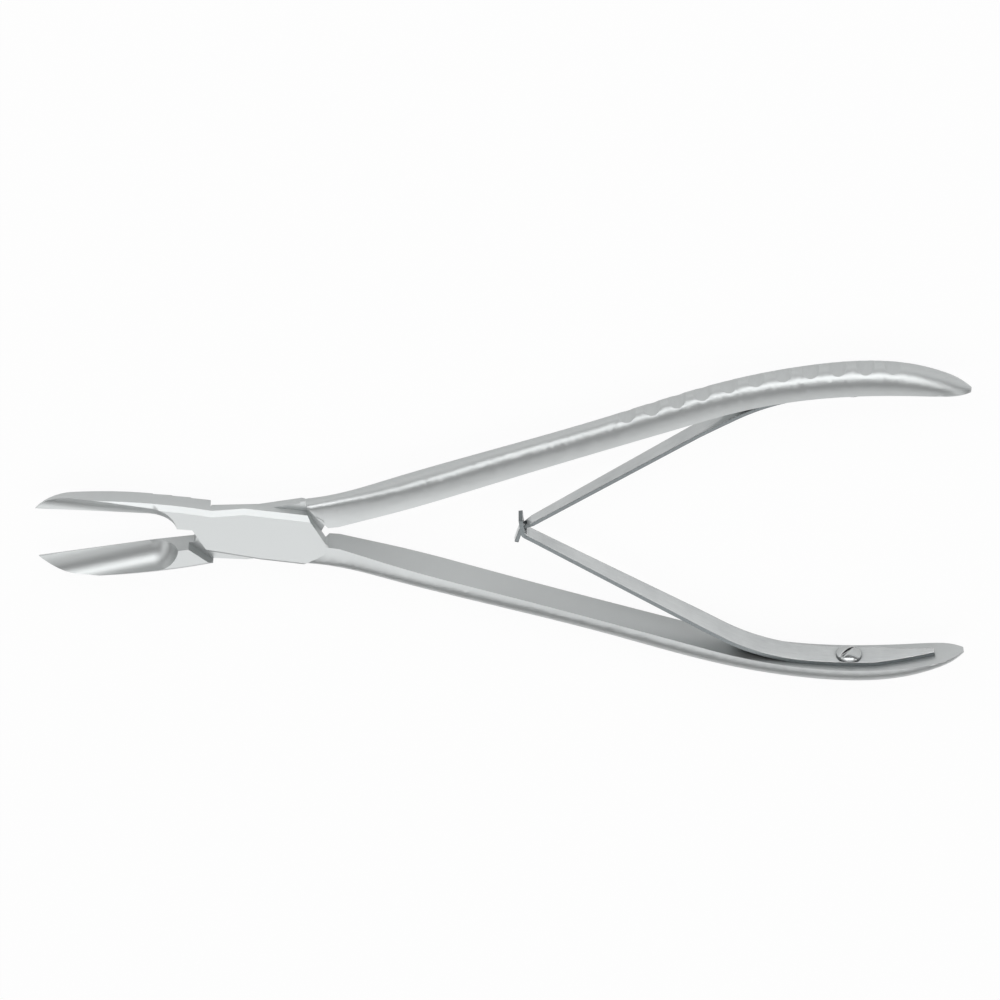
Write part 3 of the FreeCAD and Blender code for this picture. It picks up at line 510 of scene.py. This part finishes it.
def dress_node(name, material, edge_break):
    """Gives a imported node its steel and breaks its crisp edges."""
    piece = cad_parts[name]
    for material_slot in piece.material_slots:
        material_slot.link = "OBJECT"
        material_slot.material = material
    weld = piece.modifiers.new("joined_edges", "WELD")
    weld.merge_threshold = WELD_DISTANCE
    bevel = piece.modifiers.new("broken_edges", "BEVEL")
    bevel.width = edge_break
    bevel.segments = BEVEL_SEGMENTS
    bevel.limit_method = "ANGLE"
    bevel.angle_limit = CRISP_ANGLE
    bevel.use_clamp_overlap = True
    bevel.harden_normals = False
    normals = piece.modifiers.new("even_shading", "WEIGHTED_NORMAL")
    normals.weight = NORMAL_WEIGHT
    return piece


# Leaf springs

def walk(place, heading, runs, segment):
    """Stations (place, heading) along runs of ('line', length) and ('arc', radius, turn)."""
    stations = [(place.copy(), heading)]
    for run in runs:
        length = run[1] if run[0] == "line" else run[1] * abs(run[2])
        count = max(3, math.ceil(length / segment))
        if run[0] == "line":
            ahead = Vector((math.cos(heading), math.sin(heading)))
            stations += [(place + ahead * (length * step / count), heading) for step in range(1, count + 1)]
        else:
            radius, turn = run[1], run[2]
            side = math.copysign(1.0, turn)
            centre = place + Vector((-math.sin(heading), math.cos(heading))) * (radius * side)
            for step in range(1, count + 1):
                angle = heading + turn * step / count
                away = Vector((math.sin(angle), -math.cos(angle))) * (radius * side)
                stations.append((centre + away, angle))
        place, heading = stations[-1]
    return stations


def handle_face(line, reach, lift):
    """Point and heading on the closed lower handle's inner face, moved off it by lift."""
    bend = Vector((line.start + line.straight * math.cos(line.slope),
                   -line.gap - line.straight * math.sin(line.slope)))
    centre = bend + Vector((math.sin(line.slope), math.cos(line.slope))) * line.bow_radius
    angle = math.asin((reach - centre.x) / line.bow_radius)
    face = Vector((reach, centre.y - line.bow_radius * math.cos(angle)))
    return face + Vector((-math.sin(angle), math.cos(angle))) * lift, angle


def leaf_stations(meeting, drop, end_bend, end_length):
    """Middle line of the lower leaf, drawn closed, from the foot's tip to its bent end."""
    line = bpy.context.scene.handle_line
    sizes = bpy.context.scene.leaf_sizes
    half = sizes.thickness / 2
    start, end_angle = handle_face(line, sizes.foot_end, sizes.seat + half)
    under, lift_angle = handle_face(line, sizes.lift_off, sizes.seat)
    centre = under + Vector((-math.sin(lift_angle), math.cos(lift_angle))) * sizes.bend_radius
    opening = line.half_opening
    target = Vector((meeting * math.cos(opening) + drop * math.sin(opening),
                     meeting * math.sin(opening) - drop * math.cos(opening)))
    way = target - centre
    towards = math.atan2(way.y, way.x)
    if towards > 0:
        towards -= 2 * math.pi
    leave = towards + math.acos(sizes.bend_radius / way.length)
    straight = math.sqrt(way.length ** 2 - sizes.bend_radius ** 2)
    runs = [("arc", line.bow_radius - sizes.seat - half, lift_angle - end_angle),
            ("arc", sizes.bend_radius - half, leave - (lift_angle - math.pi / 2)),
            ("line", straight),
            ("arc", sizes.end_bend_radius - half, -end_bend),
            ("line", end_length)]
    return walk(start, end_angle + math.pi, runs, sizes.segment)


def between(marks, place):
    """Value at a place on a line drawn through (place, value) marks."""
    if place <= marks[0][0]:
        return marks[0][1]
    for (low, first), (high, last) in zip(marks, marks[1:]):
        if place <= high:
            return first + (last - first) * (place - low) / (high - low)
    return marks[-1][1]


def build_strip(name, stations, widths, lanes, side, window=None):
    """A strip as quads across its width. The lanes are shares of the half width, or lengths off the
    middle. The window, (low, high), is the stretch of the strip where the middle lane stays open."""
    line = bpy.context.scene.handle_line
    turn = Matrix.Rotation(-line.half_opening * side, 4, PIVOT_AXIS)
    mesh = bmesh.new()
    rows = []
    for place, heading in stations:
        half_width = between(widths, place.x) / 2
        inner = min(lanes, half_width * INNER_SHARE)
        rows.append([mesh.verts.new(turn @ Vector((place.x, place.y * side, line.middle_height + across)))
                     for across in (-half_width, -inner, inner, half_width)])
    along = 0.0
    for (here, there), (low, high) in zip(zip(stations, stations[1:]), zip(rows, rows[1:])):
        step = (there[0] - here[0]).length
        along += step
        for index in range(len(low) - 1):
            if window and window[0] < along - step / 2 < window[1] and index == 1:
                continue
            corners = [low[index], low[index + 1], high[index + 1], high[index]]
            mesh.faces.new(corners if side > 0 else corners[::-1])
    bmesh.ops.recalc_face_normals(mesh, faces=mesh.faces)
    data = bpy.data.meshes.new(name)
    mesh.to_mesh(data)
    mesh.free()
    for polygon in data.polygons:
        polygon.use_smooth = True
    strip = bpy.data.objects.new(name, data)
    bpy.context.scene.collection.objects.link(strip)
    return strip


def window_stretch(stations, opening, sizes):
    """Where along the strip the window starts and ends, by height over the mid-line, and that strip
    with stations of its own at both ends."""
    low = sizes.window_rise - sizes.window_height / 2
    high = low + sizes.window_height
    turn = Matrix.Rotation(-opening, 2)
    kept, marks, along = [stations[0]], [], 0.0
    for here, there in zip(stations, stations[1:]):
        heights = [(turn @ place)[1] for place, heading in (here, there)]
        for level in (low, high):
            if heights[0] < level <= heights[1] and here[0].x < sizes.arm_end:
                share = (level - heights[0]) / (heights[1] - heights[0])
                cut = here[0].lerp(there[0], share)
                along += (cut - kept[-1][0]).length
                marks.append(along)
                kept.append((cut, here[1] + (there[1] - here[1]) * share))
        along += (there[0] - kept[-1][0]).length
        kept.append(there)
    return kept, marks


def finish_strip(strip, nodes):
    """Thickness, rounded edges and steels of a strip, whose bend between the handle and the free arm is
    drawn in its stations; hides the nodes it replaces.
    """
    sizes = bpy.context.scene.leaf_sizes
    strip.data.materials.append(bpy.data.materials["leaf_steel"])
    # The rims get the cut edge steel, painted dark as shade
    strip.data.materials.append(bpy.data.materials["leaf_cut_edge_shade"])
    solid = strip.modifiers.new("thickness", "SOLIDIFY")
    solid.thickness = sizes.thickness
    solid.offset = 0.0
    solid.use_even_offset = True
    solid.material_offset_rim = 1
    bevel = strip.modifiers.new("edge_round", "BEVEL")
    bevel.width = sizes.edge_round
    bevel.segments = BEVEL_SEGMENTS
    bevel.limit_method = "ANGLE"
    bevel.angle_limit = STRIP_CRISP_ANGLE
    normals = strip.modifiers.new("even_shading", "WEIGHTED_NORMAL")
    normals.weight = NORMAL_WEIGHT
    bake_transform(strip)
    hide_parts(*nodes)


class FORCEPS_OT_steels(bpy.types.Operator):
    """Makes the steels that the pieces share"""
    bl_idname = "forceps.steels"
    bl_label = "Make the steels"

    def execute(self, context):
        satin_steel()
        leaf_steel()
        cut_edge_shade_steel()
        return {"FINISHED"}


class FORCEPS_OT_halves(bpy.types.Operator):
    """Dresses the two halves in satin steel and breaks their edges"""
    bl_idname = "forceps.halves"
    bl_label = "Dress the halves"

    def execute(self, context):
        steel = bpy.data.materials["satin_steel"]
        for name in ("front_half", "rear_half"):
            dress_node(name, steel, context.scene.steel_looks.edge_break)
        return {"FINISHED"}


class FORCEPS_OT_screws(bpy.types.Operator):
    """Dresses the pivot screw and the two spring screws in turned steel"""
    bl_idname = "forceps.screws"
    bl_label = "Dress the screws"

    def execute(self, context):
        edge = context.scene.steel_looks.screw_break
        dress_node("pivot_screw", turned_steel("pivot_screw_steel", (0, 0, 0), PIVOT_AXIS), edge)
        for name in ("lower_spring_screw", "upper_spring_screw"):
            low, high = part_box(name)
            dress_node(name, turned_steel(name + "_steel", (low + high) / 2, (0, 1, 0)), edge)
        return {"FINISHED"}


class FORCEPS_OT_lower_leaf(bpy.types.Operator):
    """Builds the lower leaf spring, whose tab has a window for the hook"""
    bl_idname = "forceps.lower_leaf"
    bl_label = "Build the lower leaf"

    def execute(self, context):
        sizes = context.scene.leaf_sizes
        opening = context.scene.handle_line.half_opening
        stations = leaf_stations(sizes.tab_meeting, sizes.tab_drop, sizes.tab_bend, sizes.tab_length)
        stations, window = window_stretch(stations, opening, sizes)
        widths = [(sizes.arm_end, sizes.tip_width), (sizes.arm_start, sizes.arm_width),
                  (sizes.flex, sizes.arm_width), (sizes.screw, sizes.foot_width),
                  (sizes.foot_taper, sizes.foot_width), (sizes.foot_end, sizes.foot_tip_width)]
        strip = build_strip("lower_leaf_spring", stations, widths, sizes.window_width / 2, 1, window)
        finish_strip(strip, ("lower_spring_foot", "lower_spring_arm"))
        return {"FINISHED"}


class FORCEPS_OT_upper_leaf(bpy.types.Operator):
    """Builds the upper leaf spring, which ends in a narrow hook"""
    bl_idname = "forceps.upper_leaf"
    bl_label = "Build the upper leaf"

    def execute(self, context):
        sizes = context.scene.leaf_sizes
        stations = leaf_stations(sizes.hook_meeting, sizes.hook_drop, sizes.hook_bend, sizes.hook_length)
        widths = [(sizes.hook_start, sizes.hook_width),
                  (sizes.hook_start + sizes.hook_shoulder, sizes.hook_arm_tip_width),
                  (sizes.arm_start, sizes.hook_arm_width), (sizes.flex, sizes.arm_width),
                  (sizes.screw, sizes.foot_width), (sizes.foot_taper, sizes.foot_width),
                  (sizes.foot_end, sizes.foot_tip_width)]
        strip = build_strip("upper_leaf_spring", stations, widths, sizes.window_width / 2, -1)
        finish_strip(strip, ("upper_spring_foot", "upper_spring_arm"))
        return {"FINISHED"}


class FORCEPS_OT_studio(bpy.types.Operator):
    """Sets the floor, the light and the camera"""
    bl_idname = "forceps.studio"
    bl_label = "Set the studio"

    def execute(self, context):
        settings = context.scene.studio
        add_floor(settings)
        set_world(settings)
        aim = Vector(settings.aim)
        add_soft_box("front_box", aim, settings.front_angle, settings.front_width, settings.front_level)
        add_soft_box("top_box", aim, settings.top_angle, settings.top_width, settings.top_level)
        add_soft_box("strip_light", aim, settings.strip_angle, settings.strip_width, settings.strip_level)
        for name, quarter in (("left_box", math.pi / 2), ("right_box", -math.pi / 2)):
            add_soft_box(name, aim, settings.side_angle, settings.side_width, settings.side_level, quarter)
        add_camera(settings)
        context.scene.view_settings.view_transform = "Standard"
        return {"FINISHED"}


def from_side(angle):
    """Direction seen from the tool, tilted from straight above towards +Y."""
    return Vector((0, math.sin(angle), math.cos(angle)))


def placed(across, up, away, point):
    return Matrix.LocRotScale(point, Matrix((across, up, away)).transposed(), None)


def add_soft_box(name, aim, angle, width, level, quarter=0.0):
    """A lamp whose face looks as bright as a white surface times its level."""
    length = bpy.context.scene.studio.lamp_length
    light = bpy.data.lights.new(name, "AREA")
    light.shape = "RECTANGLE"
    light.size, light.size_y = length, width
    light.energy = math.pi * length * width * level
    box = bpy.data.objects.new(name, light)
    turn = Matrix.Rotation(quarter, 3, PIVOT_AXIS)
    away = turn @ from_side(angle)
    across = turn @ Vector((1, 0, 0))
    box.matrix_world = placed(across, away.cross(across), away,
                              aim + away * bpy.context.scene.studio.lamp_distance)
    bpy.context.scene.collection.objects.link(box)


def add_camera(settings):
    """The camera leans towards +Y with +Y up in the picture, and is turned about the pivot's axis."""
    turn = Matrix.Rotation(-settings.turn, 3, PIVOT_AXIS)
    away = turn @ from_side(settings.tilt)
    across = turn @ Vector((1, 0, 0))
    camera = bpy.data.cameras.new("camera")
    camera.lens = camera.sensor_width * settings.distance / settings.view_width
    camera.clip_start = NEAR_CLIP
    holder = bpy.data.objects.new("camera", camera)
    holder.matrix_world = placed(across, away.cross(across), away,
                                 Vector(settings.aim) + away * settings.distance)
    bpy.context.scene.collection.objects.link(holder)
    bpy.context.scene.camera = holder


def background_share(tree, seen_level, mirrored_level):
    """Share of plain background in the floor, which is less where the steel mirrors it."""
    path = tree.nodes.new("ShaderNodeLightPath")
    seen = combined(tree, "MAXIMUM", path.outputs["Is Camera Ray"], path.outputs["Is Transmission Ray"])
    mirrored = combined(tree, "MULTIPLY", path.outputs["Is Glossy Ray"], mirrored_level)
    return combined(tree, "MAXIMUM", combined(tree, "MULTIPLY", seen, seen_level), mirrored)


def add_floor(settings):
    mesh = bmesh.new()
    bmesh.ops.create_grid(mesh, x_segments=1, y_segments=1, size=FLOOR_HALF_SIDE)
    data = bpy.data.meshes.new("floor")
    mesh.to_mesh(data)
    mesh.free()
    floor = bpy.data.objects.new("floor", data)
    floor.location.z = CAD_LOW.z
    bpy.context.scene.collection.objects.link(floor)
    material = bpy.data.materials.new("pale_floor")
    material.use_nodes = True
    tree = material.node_tree
    tree.nodes.clear()
    output = tree.nodes.new("ShaderNodeOutputMaterial")
    matt = tree.nodes.new("ShaderNodeBsdfDiffuse")
    matt.inputs["Color"].default_value = coloured(FLOOR_COLOUR)
    glow = tree.nodes.new("ShaderNodeEmission")
    glow.inputs["Strength"].default_value = 1.0
    mix = tree.nodes.new("ShaderNodeMixShader")
    share = background_share(tree, settings.floor_level, settings.floor_mirror)
    tree.links.new(share, mix.inputs["Fac"])
    tree.links.new(matt.outputs["BSDF"], mix.inputs[1])
    tree.links.new(glow.outputs["Emission"], mix.inputs[2])
    tree.links.new(mix.outputs["Shader"], output.inputs["Surface"])
    data.materials.append(material)


def set_world(settings):
    world = bpy.data.worlds.new("studio_world")
    world.use_nodes = True
    tree = world.node_tree
    surroundings = tree.nodes["Background"]
    surroundings.inputs["Color"].default_value = (1, 1, 1, 1)
    path = tree.nodes.new("ShaderNodeLightPath")
    level = ranged(tree, path.outputs["Is Camera Ray"], 0.0, 1.0, settings.world_level, 1.0)
    tree.links.new(level, surroundings.inputs["Strength"])
    bpy.context.scene.world = world


class FORCEPS_PT_panel(bpy.types.Panel):
    """Lists the steps in the sidebar"""
    bl_idname = "FORCEPS_PT_panel"
    bl_label = "Bone cutting forceps"
    bl_space_type = "VIEW_3D"
    bl_region_type = "UI"
    bl_category = "Forceps"

    def draw(self, context):
        layout = self.layout
        for step in STEPS:
            layout.operator(step.bl_idname)
        for group in (context.scene.handle_line, context.scene.leaf_sizes,
                      context.scene.steel_looks, context.scene.studio):
            box = layout.box()
            for name in group.bl_rna.properties.keys():
                if name not in ("rna_type", "name"):
                    box.prop(group, name)


GROUPS = {"handle_line": HandleLine, "leaf_sizes": LeafSizes, "steel_looks": SteelLooks,
          "studio": StudioSettings}
STEPS = (FORCEPS_OT_steels, FORCEPS_OT_halves, FORCEPS_OT_screws, FORCEPS_OT_lower_leaf,
         FORCEPS_OT_upper_leaf, FORCEPS_OT_studio)


def register():
    for name, group in GROUPS.items():
        bpy.utils.register_class(group)
        setattr(bpy.types.Scene, name, PointerProperty(type=group))
    for step in (*STEPS, FORCEPS_PT_panel):
        bpy.utils.register_class(step)


def unregister():
    for step in reversed((*STEPS, FORCEPS_PT_panel)):
        bpy.utils.unregister_class(step)
    for name, group in reversed(GROUPS.items()):
        delattr(bpy.types.Scene, name)
        bpy.utils.unregister_class(group)


def main():
    register()
    bpy.ops.forceps.steels()
    bpy.ops.forceps.halves()
    bpy.ops.forceps.screws()
    bpy.ops.forceps.lower_leaf()
    bpy.ops.forceps.upper_leaf()
    bpy.ops.forceps.studio()


if __name__ == "__main__":
    main()
